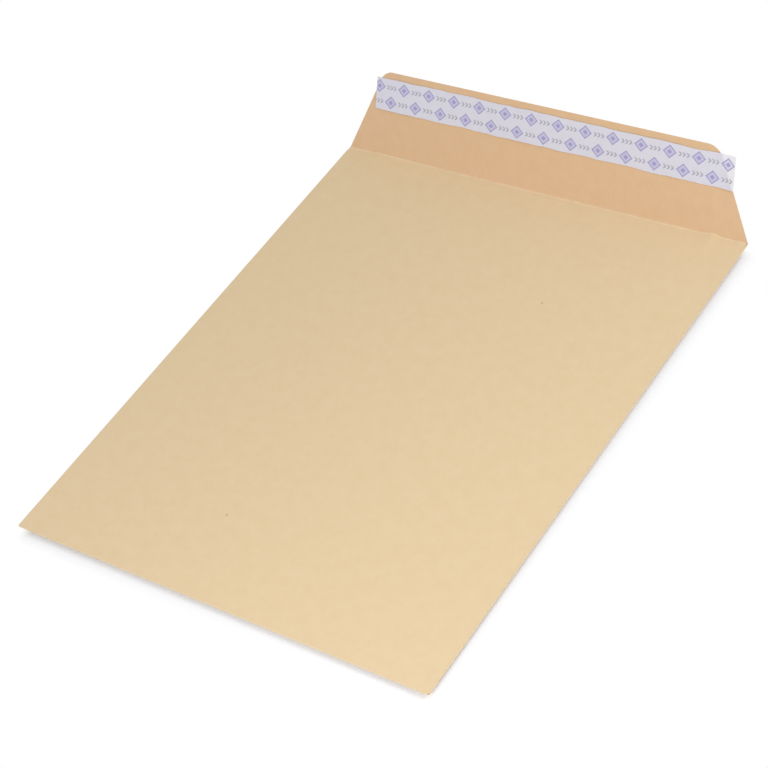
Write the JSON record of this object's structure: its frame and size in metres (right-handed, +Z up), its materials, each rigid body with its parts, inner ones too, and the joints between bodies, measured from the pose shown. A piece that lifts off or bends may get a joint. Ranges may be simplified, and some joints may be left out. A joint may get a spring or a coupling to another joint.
{
  "type": "manila envelope",
  "caption": "Large manila pocket envelope lying flat on its face, its gummed seal flap raised open and covered by a peel-off release strip.",
  "frame": {"origin": "middle of the lower panel's underside, on the surface that the envelope lies on", "axes": "+X across the width, +Y up the length towards the seal flap, +Z up out of the surface it lies on"},
  "size_m": [0.254, 0.3295, 0.0432],
  "materials": {
    "manila_paper": "uncoated manila kraft paper, matt, with faint fibre mottle",
    "seal_gum": "pale yellowish pressure-sensitive hot-melt gum, slightly glossy",
    "release_paper": "thin silicone-coated release paper, satin, printed with small violet and grey marks"
  },
  "bodies": {
    "root": {"envelope": "manila_paper", "adhesive_strip": "seal_gum", "release_liner": "release_paper"}
  },
  "joints": []
}
